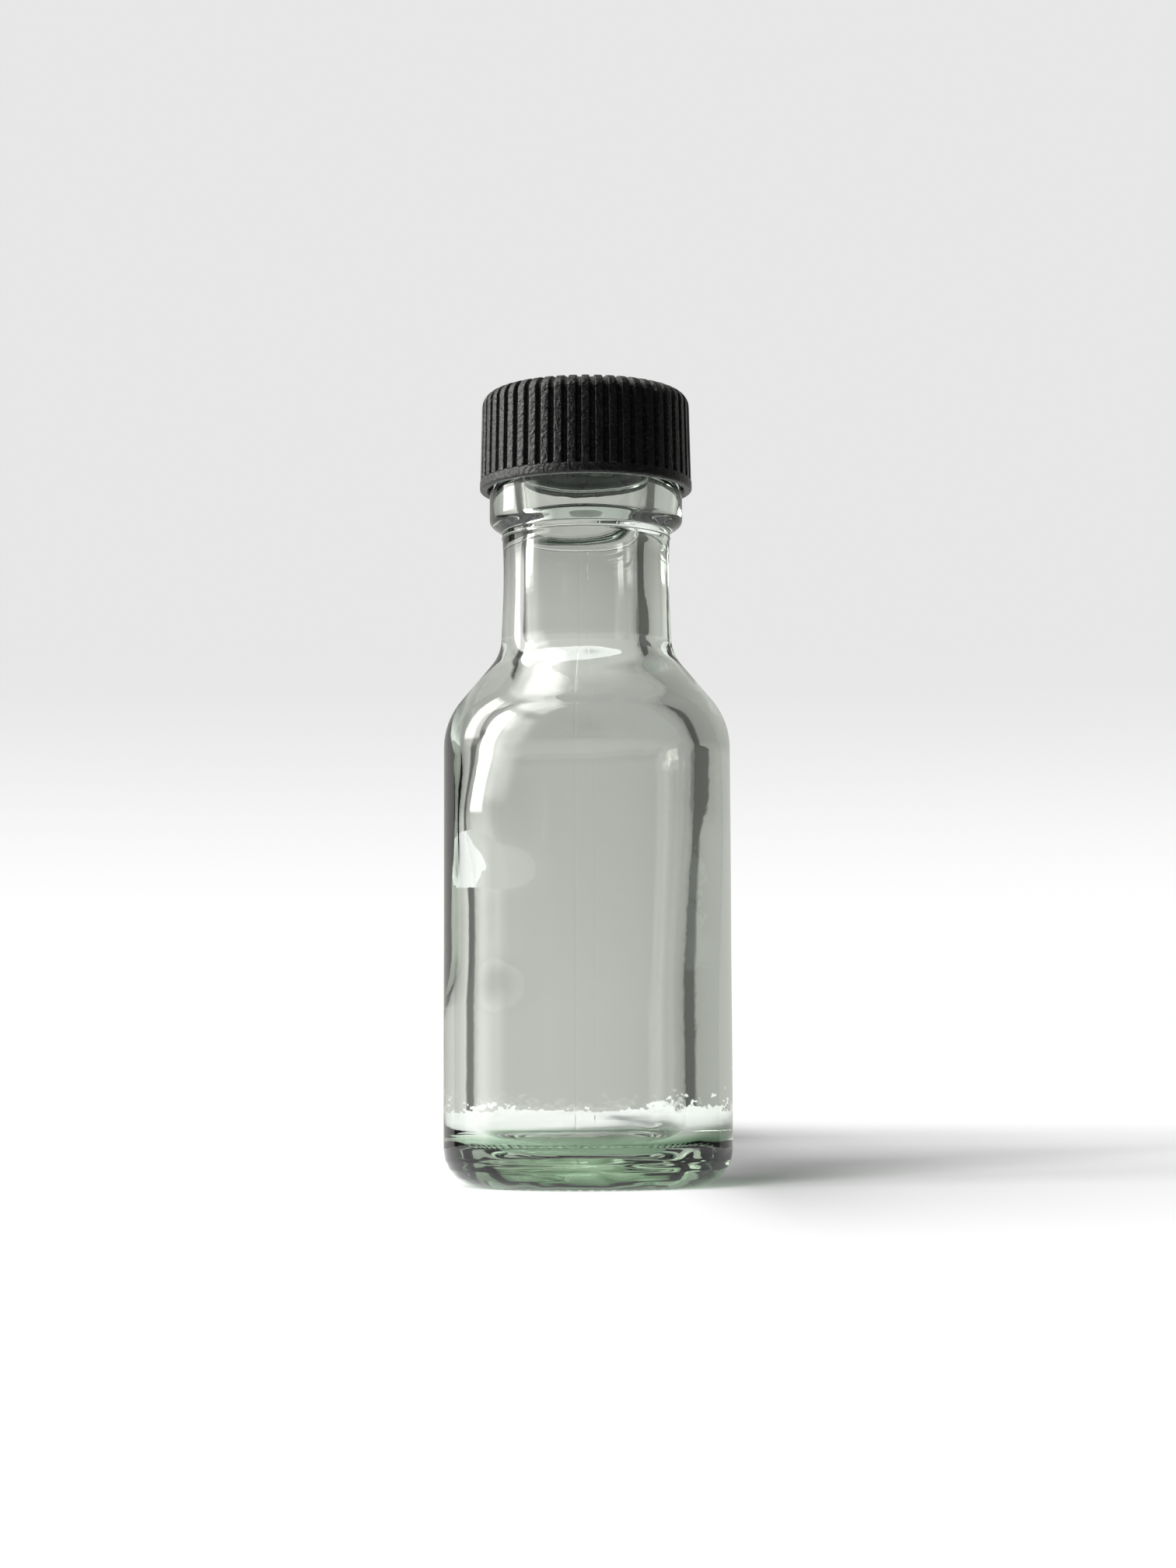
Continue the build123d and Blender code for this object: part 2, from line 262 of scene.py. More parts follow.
def ring_lathe(name, points, columns):
    """A turned ring: the outline closes on itself and never meets the axis."""
    count = len(points)
    verts, faces = [], []
    for radius, height in points:
        for k in range(columns):
            angle = 2 * pi * k / columns
            verts.append((radius * cos(angle) * MM, radius * sin(angle) * MM, height * MM))
    for row in range(count):
        a, b = row * columns, ((row + 1) % count) * columns
        for k in range(columns):
            j = (k + 1) % columns
            faces.append((a + k, a + j, b + j, b + k))
    return smooth_piece(name, verts, faces)


def smooth_step(low, high, value):
    t = np.clip((value - low) / (high - low), 0, 1)
    return t * t * (3 - 2 * t)


def band_window(low, high, blend, value):
    """1 between low and high, fading to 0 over blend outside them."""
    return smooth_step(low - blend, low, value) * (1 - smooth_step(high, high + blend, value))


def ripple(angles, heights, scale, stretch, seed):
    """Smooth noise over a turned surface, about -1 to 1, with no break round the axis."""
    out = np.zeros(heights.shape)
    for row in range(heights.shape[0]):
        for column, angle in enumerate(angles):
            z = heights[row, column]
            at = Vector((cos(angle) * scale + seed, sin(angle) * scale - seed, z * stretch))
            out[row, column] = noise.noise(at)
    return out


def profile(heights, points, soft=1.5):
    """Values at the heights from a few (height, value) points, with the corners rounded."""
    at, value = np.array(points, float).T
    shifts = np.linspace(-soft, soft, 7)
    return sum(np.interp(heights + shift, at, value) for shift in shifts) / len(shifts)


def wrapped(angle):
    """An angle brought into -pi to pi."""
    return (angle + pi) % (2 * pi) - pi


def helix_ridge(angles, heights, start_z, turns, crest, flank, fade_turns):
    """Height, 0 to 1, of a right-hand thread over a grid of angles and heights."""
    turn = (np.asarray(angles) % (2 * pi)) / (2 * pi)
    along = (heights - start_z) / THREAD_PITCH
    nearest = np.round(along - turn) + turn
    away = np.abs(along - nearest) * THREAD_PITCH
    ridge = 1 - smooth_step(crest / 2, crest / 2 + flank, away)
    ends = np.clip(nearest / fade_turns, 0, 1) * np.clip((turns - nearest) / fade_turns, 0, 1)
    return ridge * smooth_step(0, 1, ends)


# ---------------------------------------------------------------- glass bottle

SEAM_ANGLES = (radians(-94.5), radians(85.5))
SEAM_HALF_WIDTH = radians(0.45)
GLASS_COLUMNS = 244


def glass_angles():
    """Even columns, with extra ones beside the two mould seams."""
    even = [2 * pi * k / GLASS_COLUMNS - pi for k in range(GLASS_COLUMNS)]
    extra = [s + SEAM_HALF_WIDTH * k / 2 for s in SEAM_ANGLES for k in range(-4, 5)]
    clear = SEAM_HALF_WIDTH * 2.2
    keep = [a for a in even if all(abs(wrapped(a - s)) > clear for s in SEAM_ANGLES)]
    return np.array(sorted(keep + extra))


def glass_outside_outline():
    """From the middle of the push-up out, up the wall and the collar, to the lip."""
    heel = (BODY_R - HEEL_ROUND, HEEL_ROUND)
    points = bezier((0, PUSH_UP), (6, PUSH_UP), (10.2, 1.2), (BEARING_IN - 0.3, 0.22), 14)
    points += bezier((BEARING_IN - 0.3, 0.22), (BEARING_IN, 0.05), (BEARING_IN + 0.1, 0),
                     (BEARING_IN + 0.4, 0), 5)
    points += line((BEARING_IN + 0.4, 0), (heel[0], 0), 0.2)
    points += arc(heel, HEEL_ROUND, -90, 0, 0.19)
    points += line((BODY_R, HEEL_ROUND), (BODY_R, SHOULDER_Z), 2.0)
    run, neck_z = shoulder(BODY_R, SHOULDER_Z, SHOULDER_ROUND, NECK_LOW_R, NECK_BLEND, 0.65)
    points += run
    points += bezier((NECK_LOW_R, neck_z), (NECK_LOW_R - 0.1, neck_z + 2.5),
                     (NECK_WAIST_R, NECK_WAIST_Z - 4), (NECK_WAIST_R, NECK_WAIST_Z), 10)
    points += bezier((NECK_WAIST_R, NECK_WAIST_Z), (NECK_WAIST_R, NECK_WAIST_Z + 2),
                     (NECK_TOP_R - 0.08, COLLAR_LOW_Z - 2.4),
                     (NECK_TOP_R - 0.04, COLLAR_LOW_Z - 1.1), 10)
    parting = COLLAR_LOW_Z - 0.85
    points += line((NECK_TOP_R - 0.04, COLLAR_LOW_Z - 1.1),
                   (NECK_TOP_R - 0.03, parting - 0.09), 0.1)
    points += bezier((NECK_TOP_R - 0.03, parting - 0.09), (NECK_TOP_R + 0.10, parting - 0.07),
                     (NECK_TOP_R + 0.10, parting + 0.07), (NECK_TOP_R, parting + 0.09), 5)
    points += line((NECK_TOP_R, parting + 0.09), (NECK_TOP_R + 0.02, COLLAR_LOW_Z - 0.2), 0.15)
    points += bezier((NECK_TOP_R + 0.02, COLLAR_LOW_Z - 0.2),
                     (NECK_TOP_R + 0.03, COLLAR_LOW_Z - 0.02),
                     (NECK_TOP_R + 0.2, COLLAR_LOW_Z + 0.06),
                     (NECK_TOP_R + 0.4, COLLAR_LOW_Z + 0.2), 6)
    points += bezier((NECK_TOP_R + 0.4, COLLAR_LOW_Z + 0.2),
                     (COLLAR_R - 0.45, COLLAR_LOW_Z + 0.72),
                     (COLLAR_R, COLLAR_LOW_Z + 0.9), (COLLAR_R, COLLAR_LOW_Z + 1.65), 12)
    points += line((COLLAR_R, COLLAR_LOW_Z + 1.65), (COLLAR_R, COLLAR_TOP_Z - 0.5), 0.6)
    points += arc((COLLAR_R - 0.5, COLLAR_TOP_Z - 0.5), 0.5, 0, 90, 0.1)
    points += line((COLLAR_R - 0.5, COLLAR_TOP_Z), (FINISH_R + 0.3, COLLAR_TOP_Z), 0.25)
    points += arc((FINISH_R + 0.3, COLLAR_TOP_Z + 0.3), 0.3, 270, 180, 0.1)
    points += line((FINISH_R, COLLAR_TOP_Z + 0.3), (FINISH_R, MOUTH_Z - 0.6), 0.22)
    points += arc((FINISH_R - 0.6, MOUTH_Z - 0.6), 0.6, 0, 90, 0.12)
    points += line((FINISH_R - 0.6, MOUTH_Z), (FINISH_BORE_R + 0.5, MOUTH_Z), 0.3)
    return points


def glass_inside_outline():
    """From the lip down the bore to the middle of the floor."""
    points = arc((FINISH_BORE_R + 0.5, MOUTH_Z - 0.5), 0.5, 90, 180, 0.12)
    run, bore_z = shoulder(
        BORE_R, SHOULDER_BORE_Z, SHOULDER_BORE_ROUND, NECK_BORE_R, NECK_BORE_BLEND, 0.65)
    points += line((FINISH_BORE_R, MOUTH_Z - 0.5), (FINISH_BORE_R, BORE_TAPER_HIGH_Z + 0.4), 1.6)
    points += bezier((FINISH_BORE_R, BORE_TAPER_HIGH_Z + 0.4), (FINISH_BORE_R, BORE_TAPER_HIGH_Z),
                     (FINISH_BORE_R, BORE_TAPER_HIGH_Z),
                     (FINISH_BORE_R - 0.04, BORE_TAPER_HIGH_Z - 0.4), 4)
    points += line((FINISH_BORE_R - 0.04, BORE_TAPER_HIGH_Z - 0.4),
                   (COLLAR_BORE_R + 0.03, COLLAR_BORE_Z + 0.3), 0.8)
    points += bezier((COLLAR_BORE_R + 0.03, COLLAR_BORE_Z + 0.3), (COLLAR_BORE_R, COLLAR_BORE_Z),
                     (NECK_BORE_R, BORE_TAPER_LOW_Z + 0.7), (NECK_BORE_R, BORE_TAPER_LOW_Z), 12)
    points += line((NECK_BORE_R, BORE_TAPER_LOW_Z), (NECK_BORE_R, bore_z), 1.4)
    points += [(NECK_BORE_R, bore_z)] + run[::-1]
    points += line((BORE_R, SHOULDER_BORE_Z - 0.5), (BORE_R, FLOOR_Z + FLOOR_ROUND), 1.5)
    points += arc((BORE_R - FLOOR_ROUND, FLOOR_Z + FLOOR_ROUND), FLOOR_ROUND, 0, -90, 0.38)
    points += bezier((BORE_R - FLOOR_ROUND, FLOOR_Z), (8.5, FLOOR_Z),
                     (5.0, FLOOR_CENTRE_Z), (0, FLOOR_CENTRE_Z), 15)
    return points + [(0, FLOOR_CENTRE_Z)]


def swell(angles, middle, reach):
    """1 in one direction, falling away to both sides of it; degrees."""
    return np.exp(-(wrapped(angles - radians(middle)) / radians(reach)) ** 2)


def glass_bottle():
    angles = glass_angles()
    outside, inside = glass_outside_outline(), glass_inside_outline()
    split = len(outside)
    outline, radii, heights = spun(outside + inside, len(angles))
    out_r, out_z = radii[:split], heights[:split]
    in_r, in_z = radii[split:], heights[split:]

    # outside: faint settle waves, mould seams, stippled bearing ring, heel lines, thread
    settle = ripple(angles, out_z, 1.3, 0.055, 3.1) * band_window(6, 80, 5, out_z)
    out_r += SETTLE_WAVES * settle
    seam_rows = band_window(2.5, COLLAR_LOW_Z - 0.4, 1.0, out_z) * (out_r > BEARING_IN * 0.8)
    for seam in SEAM_ANGLES:
        away = wrapped(angles - seam) / SEAM_HALF_WIDTH
        out_r += SEAM_HEIGHT * np.exp(-away ** 2) * seam_rows
    bearing = band_window(BEARING_IN + 0.2, BODY_R - HEEL_ROUND + 0.8, 0.5, out_r) * (out_z < 1.0)
    stipple = np.clip(np.cos(angles * STIPPLE_COUNT) * 2.2 - 1.0, 0, 1)
    out_z += STIPPLE_HEIGHT * bearing * stipple
    uneven = 0.6 + 0.8 * ripple(angles, out_z, 3.0, 0.1, 4.4)
    for at, proud, half in HEEL_LINES:
        out_r += proud * uneven * np.exp(-((out_z - at) / half) ** 2) * (out_r > BEARING_IN + 1)
    thread = helix_ridge(angles, out_z, GLASS_THREAD_Z, GLASS_THREAD_TURNS, GLASS_CREST,
                         GLASS_FLANK, THREAD_FADE)
    on_finish = (outline[:split, 1] > COLLAR_TOP_Z + 0.2) & (outline[:split, 0] > FINISH_R - 0.4)
    out_r += THREAD_DEPTH * thread * on_finish[:, None]

    # inside: the blown wall is uneven and its floor is not level
    on_wall = smooth_step(2, 9, in_r)
    push = WALL_WAVES * ripple(angles, np.maximum(in_z, 18), 1.1, 0.050, 7.7)
    push *= 1 - smooth_step(60, 68, in_z)
    for middle, reach, points in WALL_SWELLS:
        push += swell(angles, middle, reach) * profile(in_z, points)
    in_r += push * on_wall
    in_r -= NECK_BORE_OFFSET * np.cos(angles) * band_window(66, 82, 4, in_z)
    neck_waves = ripple(angles, in_z, 1.2, 0.09, 5.3) * band_window(68, 84, 4, in_z)
    in_r += NECK_BORE_WAVES * neck_waves
    floor_rows = smooth_step(9, 6, in_z)
    in_z += FLOOR_WAVES * floor_rows * ripple(angles, in_z, 2.2, 0.2, 2.2) * smooth_step(1, 6, in_r)

    return lathe("glass_bottle_visual", radii, heights, angles)


# ---------------------------------------------------------------- screw cap

# across one rib's pitch: where each column stands, and how deep the groove is there
RIB_COLUMNS = ((0.0, 0), (0.10, 0), (0.20, 0), (0.27, 0.02), (0.30, 0.14), (0.345, 0.86),
               (0.40, 1), (0.50, 1), (0.60, 1), (0.655, 0.86), (0.70, 0.14), (0.73, 0.02),
               (0.80, 0), (0.90, 0))
GATE_R, GATE_DEPTH = 1.2, 0.12


def cap_outline():
    """From the middle of the top, out and down the skirt, then up the inside."""
    edge_z = CAP_TOP_Z - CAP_EDGE_ROUND
    band_z = CAP_RIM_Z + BAND_H
    mouth_r, thread_r, seat_r = 12.75, 12.2, 11.9
    outside = [(0, CAP_TOP_Z - GATE_DEPTH), (GATE_R - 0.15, CAP_TOP_Z - GATE_DEPTH)]
    outside += line((GATE_R, CAP_TOP_Z), (TOP_FLAT_R, CAP_TOP_Z), 2.2)
    outside += line((TOP_FLAT_R, CAP_TOP_Z), (CAP_TOP_R - CAP_EDGE_ROUND, CAP_TOP_Z), 0.22)
    outside += arc((CAP_TOP_R - CAP_EDGE_ROUND, edge_z), CAP_EDGE_ROUND, 90, 0, 0.16)
    outside += line((CAP_TOP_R, edge_z), (CAP_R, band_z + 0.22), 0.75)
    outside += bezier((CAP_R, band_z + 0.22), (CAP_R, band_z + 0.08), (CAP_R, band_z),
                      (CAP_R, band_z), 3)
    outside += arc((BAND_R - 0.22, band_z - 0.22), 0.22, 75, 0, 0.07)
    outside += line((BAND_R, band_z - 0.22), (BAND_R, CAP_RIM_Z + 0.28), 0.25)
    outside += arc((BAND_R - 0.28, CAP_RIM_Z + 0.28), 0.28, 0, -90, 0.08)
    inside = line((BAND_R - 0.28, CAP_RIM_Z), (mouth_r + 0.15, CAP_RIM_Z), 0.4)
    inside += arc((mouth_r + 0.15, CAP_RIM_Z + 0.15), 0.15, -90, -180, 0.08)
    inside += line((mouth_r, CAP_RIM_Z + 0.15), (mouth_r, band_z), 0.6)
    inside += line((mouth_r, band_z), (thread_r, band_z + 0.55), 0.4)
    inside += line((thread_r, band_z + 0.55), (thread_r, ROOF_Z - 1.4), 0.21)
    inside += line((thread_r, ROOF_Z - 1.4), (seat_r, ROOF_Z - 1.1), 0.25)
    inside += line((seat_r, ROOF_Z - 1.1), (seat_r, ROOF_Z + 0.02), 0.6)
    inside += line((seat_r, ROOF_Z + 0.02), (0, ROOF_Z + 0.02), 4.0)
    return outside, inside + [(0, ROOF_Z + 0.02)]


def screw_cap():
    places, depths = np.array(RIB_COLUMNS).T
    columns = RIB_COUNT * len(places)
    ribs = np.arange(RIB_COUNT)
    angles = ((ribs[:, None] + places[None, :]) * 2 * pi / RIB_COUNT).ravel()
    outside, inside = cap_outline()
    split = len(outside)
    outline, radii, heights = spun(outside + inside, columns)

    # grooves, sunk square to the outline, run from the band over the rounded edge
    run = np.gradient(outline[:split], axis=0)
    square = np.stack([-run[:, 1], run[:, 0]], axis=1)
    square /= np.linalg.norm(square, axis=1)[:, None]
    out_r, out_z = outline[:split].T
    band_z = CAP_RIM_Z + BAND_H
    depth = GROOVE_DEPTH * smooth_step(band_z, band_z + 0.12, out_z)
    depth *= smooth_step(GROOVE_END_R, CAP_TOP_R - CAP_EDGE_ROUND + 0.5, out_r)
    sunk = depth[:, None] * np.tile(depths, RIB_COUNT)[None, :]
    radii[:split] -= square[:, :1] * sunk
    heights[:split] -= square[:, 1:] * sunk

    # the inside thread, on the wall between the skirt's mouth and the liner seat only
    ridge = helix_ridge(angles, heights[split:], CAP_THREAD_Z, CAP_THREAD_TURNS, CAP_CREST,
                        CAP_FLANK, THREAD_FADE)
    in_r, in_z = outline[split:].T
    on_wall = (in_z > 91.4) & (in_z < 99.0) & (in_r > 12)
    radii[split:] -= THREAD_DEPTH * ridge * on_wall[:, None]
    return lathe("screw_cap_visual", radii[::-1], heights[::-1], angles)


# ---------------------------------------------------------------- liner and reducer

def liner_wad():
    low, high, reach = wad_low.z / MM, wad_high.z / MM, wad_high.x / MM
    soft = 0.18
    points = line((0, low), (reach - soft, low), 1.2)
    points += arc((reach - soft, low + soft), soft, -90, 0, 0.06)
    points += arc((reach - soft, high - soft), soft, 0, 90, 0.06)
    points += line((reach - soft, high), (0, high), 1.2) + [(0, high)]
    return plain_lathe("liner_wad_visual", points, 160)


def liner_facing():
    """The film bears a shallow ring where the flange has pressed into it."""
    low, high, reach = facing_low.z / MM, facing_high.z / MM, facing_high.x / MM
    dent = 0.06
    points = line((0, low), (6.6, low), 1.0)
    points += bezier((6.6, low), (6.8, low), (6.8, low + dent), (7.1, low + dent), 6)
    points += line((7.1, low + dent), (9.2, low + dent), 0.4)
    points += bezier((9.2, low + dent), (9.6, low + dent), (9.6, low), (9.9, low), 6)
    points += line((9.9, low), (reach - 0.05, low), 0.4)
    points += arc((reach - 0.05, low + 0.05), 0.05, -90, 0, 0.03)
    points += line((reach, high), (0, high), 1.4) + [(0, high)]
    return plain_lathe("liner_facing_visual", points, 160)


def orifice_reducer():
    """The milky push-in insert: flange, plug with two sealing rings, nozzle and hole."""
    top, low = reducer_high.z / MM, reducer_low.z / MM
    flange_r, flange_low = reducer_high.x / MM, MOUTH_Z
    plug_r, wall, hole, nozzle_r, nozzle_h = 8.15, 0.95, 3.0, 3.8, 1.5
    floor_top = top - 5.0
    points = line((hole, floor_top - 0.9), (hole + 0.1, floor_top - 1.0), 0.1)
    points += line((hole + 0.1, floor_top - 1.0), (plug_r - wall, floor_top - 1.0), 0.5)
    points += line((plug_r - wall, floor_top - 1.0), (plug_r - wall, low + 0.15), 0.4)
    points += arc((plug_r - wall + 0.15, low + 0.15), 0.15, 180, 270, 0.06)
    points += line((plug_r - wall + 0.15, low), (plug_r - 0.4, low), 0.2)
    points += arc((plug_r - 0.4, low + 0.4), 0.4, -90, 0, 0.1)
    for ring in SEAL_RINGS_Z:
        points += line((plug_r, points[-1][1] + 0.1), (plug_r, ring - 0.35), 0.5)
        points += bezier((plug_r, ring - 0.35), (plug_r + 0.07, ring - 0.2),
                         (plug_r + 0.07, ring + 0.2), (plug_r, ring + 0.35), 8)
    points += line((plug_r, 97.6), (plug_r, flange_low - 0.1), 0.5)
    points += arc((plug_r + 0.1, flange_low - 0.1), 0.1, 180, 90, 0.05)
    points += line((plug_r + 0.1, flange_low), (flange_r - 0.12, flange_low), 0.4)
    points += arc((flange_r - 0.12, flange_low + 0.12), 0.12, -90, 0, 0.05)
    points += line((flange_r, flange_low + 0.12), (flange_r, top - 0.25), 0.15)
    points += arc((flange_r - 0.25, top - 0.25), 0.25, 0, 90, 0.07)
    points += line((flange_r - 0.25, top), (plug_r - wall + 0.3, top), 0.4)
    points += arc((plug_r - wall + 0.3, top - 0.3), 0.3, 90, 180, 0.08)
    points += line((plug_r - wall, top - 0.3), (plug_r - wall, floor_top + 0.3), 0.5)
    points += arc((plug_r - wall - 0.3, floor_top + 0.3), 0.3, 0, -90, 0.08)
    points += line((plug_r - wall - 0.3, floor_top), (nozzle_r + 0.15, floor_top), 0.5)
    points += line((nozzle_r + 0.15, floor_top), (nozzle_r, floor_top + 0.15), 0.1)
    points += line((nozzle_r, floor_top + 0.15), (nozzle_r, floor_top + nozzle_h - 0.15), 0.3)
    points += arc((nozzle_r - 0.15, floor_top + nozzle_h - 0.15), 0.15, 0, 90, 0.05)
    points += line((nozzle_r - 0.15, floor_top + nozzle_h),
                   (hole + 0.15, floor_top + nozzle_h), 0.2)
    points += arc((hole + 0.15, floor_top + nozzle_h - 0.15), 0.15, 90, 180, 0.05)
    points += line((hole, floor_top + nozzle_h - 0.15), (hole, floor_top - 0.9), 0.4)
    return ring_lathe("orifice_reducer_visual", points, 128)


# ---------------------------------------------------------------- materials

def new_material(name):
    material = bpy.data.materials.new(name)
    material.use_nodes = True
    nodes, links = material.node_tree.nodes, material.node_tree.links
    return material, nodes, links, nodes["Principled BSDF"], nodes["Material Output"]


def add_node(nodes, kind, **inputs):
    node = nodes.new(kind)
    for key, value in inputs.items():
        node.inputs[key.replace("_", " ")].default_value = value
    return node


def ramp(nodes, stops):
    """A colour ramp from (place, grey or colour) stops."""
    node = nodes.new("ShaderNodeValToRGB")
    elements = node.color_ramp.elements
    while len(elements) < len(stops):
        elements.new(0.5)
    for element, (place, value) in zip(elements, stops):
        element.position = place
        element.color = (*value, 1) if isinstance(value, tuple) else (value, value, value, 1)
    return node


def glass_material():
    material, nodes, links, shader, output = new_material("flint_glass")
    shader.inputs["Transmission Weight"].default_value = 1
    shader.inputs["IOR"].default_value = 1.52
    place = nodes.new("ShaderNodeTexCoord")
    split = nodes.new("ShaderNodeSeparateXYZ")
    links.new(place.outputs["Object"], split.inputs["Vector"])
    up = nodes.new("ShaderNodeMapRange")
    links.new(split.outputs["Z"], up.inputs["Value"])
    up.inputs["From Max"].default_value = 100 * MM
    # base colour goes darker and greener towards the bottom: partly the thick base's own green,
    # partly painted shade that darkens the base as if shaded from beneath
    tone = ramp(nodes, [(0.0, (0.12, 0.22, 0.13)), (0.013, (0.20, 0.34, 0.21)),
                        (0.023, (0.42, 0.60, 0.42)), (0.036, (0.78, 0.89, 0.77)),
                        (0.055, (1, 1, 1))])
    links.new(up.outputs["Result"], tone.inputs["Fac"])
    links.new(tone.outputs["Color"], shader.inputs["Base Color"])
    haze = add_node(nodes, "ShaderNodeTexNoise", Scale=260, Detail=3)
    links.new(place.outputs["Object"], haze.inputs["Vector"])
    smear = ramp(nodes, [(0.45, 0.0), (0.8, 0.035)])
    links.new(haze.outputs["Fac"], smear.inputs["Fac"])
    links.new(smear.outputs["Color"], shader.inputs["Roughness"])
    fine = add_node(nodes, "ShaderNodeTexNoise", Scale=420, Detail=2)
    links.new(place.outputs["Object"], fine.inputs["Vector"])
    bump = add_node(nodes, "ShaderNodeBump", Strength=0.12, Distance=0.00008)
    links.new(fine.outputs["Fac"], bump.inputs["Height"])
    links.new(bump.outputs["Normal"], shader.inputs["Normal"])
    absorb = add_node(nodes, "ShaderNodeVolumeAbsorption", Density=8)
    absorb.inputs["Color"].default_value = (0.15, 0.76, 0.12, 1)
    links.new(absorb.outputs["Volume"], output.inputs["Volume"])

    # lamps shine through it: the walls keep back most of their light, the base much less
    shade = ramp(nodes, [(0.055, (0.70, 0.74, 0.70)), (0.09, (0.45, 0.46, 0.45)),
                         (0.80, (0.45, 0.46, 0.45)), (0.86, (0.92, 0.93, 0.92))])
    links.new(up.outputs["Result"], shade.inputs["Fac"])
    paths = nodes.new("ShaderNodeLightPath")
    surface = shader.outputs["BSDF"]
    for ray, clear in (("Is Diffuse Ray", None), ("Is Shadow Ray", shade)):
        passing = nodes.new("ShaderNodeBsdfTransparent")
        passing.inputs["Color"].default_value = (0.86, 0.88, 0.86, 1)
        if clear:
            links.new(clear.outputs["Color"], passing.inputs["Color"])
        mix = nodes.new("ShaderNodeMixShader")
        links.new(paths.outputs[ray], mix.inputs["Fac"])
        links.new(surface, mix.inputs[1])
        links.new(passing.outputs["BSDF"], mix.inputs[2])
        surface = mix.outputs["Shader"]
    links.new(surface, output.inputs["Surface"])
    return material


def cap_material():
    material, nodes, links, shader, _ = new_material("black_polypropylene")
    shader.inputs["IOR"].default_value = 1.49
    shader.inputs["Specular IOR Level"].default_value = 0.8
    place = nodes.new("ShaderNodeTexCoord")
    mottle = add_node(nodes, "ShaderNodeTexNoise", Scale=2000, Detail=4, Roughness=0.6)
    broad = add_node(nodes, "ShaderNodeTexNoise", Scale=350, Detail=2)
    links.new(place.outputs["Object"], mottle.inputs["Vector"])
    links.new(place.outputs["Object"], broad.inputs["Vector"])
    tone = ramp(nodes, [(0.35, (0.0004, 0.0004, 0.0005)), (0.7, (0.0015, 0.0015, 0.0018))])
    links.new(mottle.outputs["Fac"], tone.inputs["Fac"])
    links.new(tone.outputs["Color"], shader.inputs["Base Color"])
    rough = ramp(nodes, [(0.3, 0.22), (0.7, 0.40)])
    links.new(broad.outputs["Fac"], rough.inputs["Fac"])
    links.new(rough.outputs["Color"], shader.inputs["Roughness"])
    bump = add_node(nodes, "ShaderNodeBump", Strength=1.0, Distance=0.00026)
    links.new(mottle.outputs["Fac"], bump.inputs["Height"])
    links.new(bump.outputs["Normal"], shader.inputs["Normal"])
    return material


def foam_material():
    material, nodes, links, shader, _ = new_material("foam_wad")
    place = nodes.new("ShaderNodeTexCoord")
    cells = add_node(nodes, "ShaderNodeTexVoronoi", Scale=3200)
    links.new(place.outputs["Object"], cells.inputs["Vector"])
    tone = ramp(nodes, [(0.0, (0.66, 0.64, 0.60)), (0.6, (0.80, 0.79, 0.76))])
    links.new(cells.outputs["Distance"], tone.inputs["Fac"])
    links.new(tone.outputs["Color"], shader.inputs["Base Color"])
    shader.inputs["Roughness"].default_value = 0.85
    bump = add_node(nodes, "ShaderNodeBump", Strength=0.5, Distance=0.0001)
    links.new(cells.outputs["Distance"], bump.inputs["Height"])
    links.new(bump.outputs["Normal"], shader.inputs["Normal"])
    return material


def film_material():
    material, nodes, links, shader, _ = new_material("liner_film")
    place = nodes.new("ShaderNodeTexCoord")
    cloud = add_node(nodes, "ShaderNodeTexNoise", Scale=500, Detail=3)
    links.new(place.outputs["Object"], cloud.inputs["Vector"])
    tone = ramp(nodes, [(0.3, (0.78, 0.78, 0.77)), (0.7, (0.86, 0.86, 0.85))])
    links.new(cloud.outputs["Fac"], tone.inputs["Fac"])
    links.new(tone.outputs["Color"], shader.inputs["Base Color"])
    rough = ramp(nodes, [(0.3, 0.28), (0.7, 0.45)])
    links.new(cloud.outputs["Fac"], rough.inputs["Fac"])
    links.new(rough.outputs["Color"], shader.inputs["Roughness"])
    return material


def polyethylene_material():
    material, nodes, links, shader, _ = new_material("natural_polyethylene")
    shader.inputs["Transmission Weight"].default_value = 0.12
    shader.inputs["IOR"].default_value = 1.5
    place = nodes.new("ShaderNodeTexCoord")
    cloud = add_node(nodes, "ShaderNodeTexNoise", Scale=420, Detail=3)
    links.new(place.outputs["Object"], cloud.inputs["Vector"])
    tone = ramp(nodes, [(0.3, (0.88, 0.885, 0.87)), (0.7, (0.94, 0.94, 0.93))])
    links.new(cloud.outputs["Fac"], tone.inputs["Fac"])
    links.new(tone.outputs["Color"], shader.inputs["Base Color"])
    rough = ramp(nodes, [(0.3, 0.30), (0.7, 0.46)])
    links.new(cloud.outputs["Fac"], rough.inputs["Fac"])
    links.new(rough.outputs["Color"], shader.inputs["Roughness"])
    return material


def floor_material():
    material, _, _, shader, _ = new_material("studio_floor")
    shader.inputs["Base Color"].default_value = (0.9, 0.9, 0.9, 1)
    shader.inputs["Roughness"].default_value = 0.9
    shader.inputs["Specular IOR Level"].default_value = 0
    return material


# ---------------------------------------------------------------- stage, light, camera

def table_edge():
    """Radii of the table's far edge, which is a little ragged, and their angles."""
    angles = [2 * pi * k / EDGE_POINTS for k in range(EDGE_POINTS)]
    at, reach = zip(*TABLE_EDGE)
    radii = []
    for angle in angles:
        turned = 180 / pi * wrapped(pi / 2 - angle)
        rough = sum(noise.noise(Vector((cos(angle) * scale, sin(angle) * scale, scale))) * amount
                    for scale, amount in EDGE_ROUGH)
        if abs(turned) > RAGGED_REACH:
            rough *= CALM_SHARE
        radii.append(float(np.interp(turned, at, reach)) * (1 + rough))
    return radii, angles


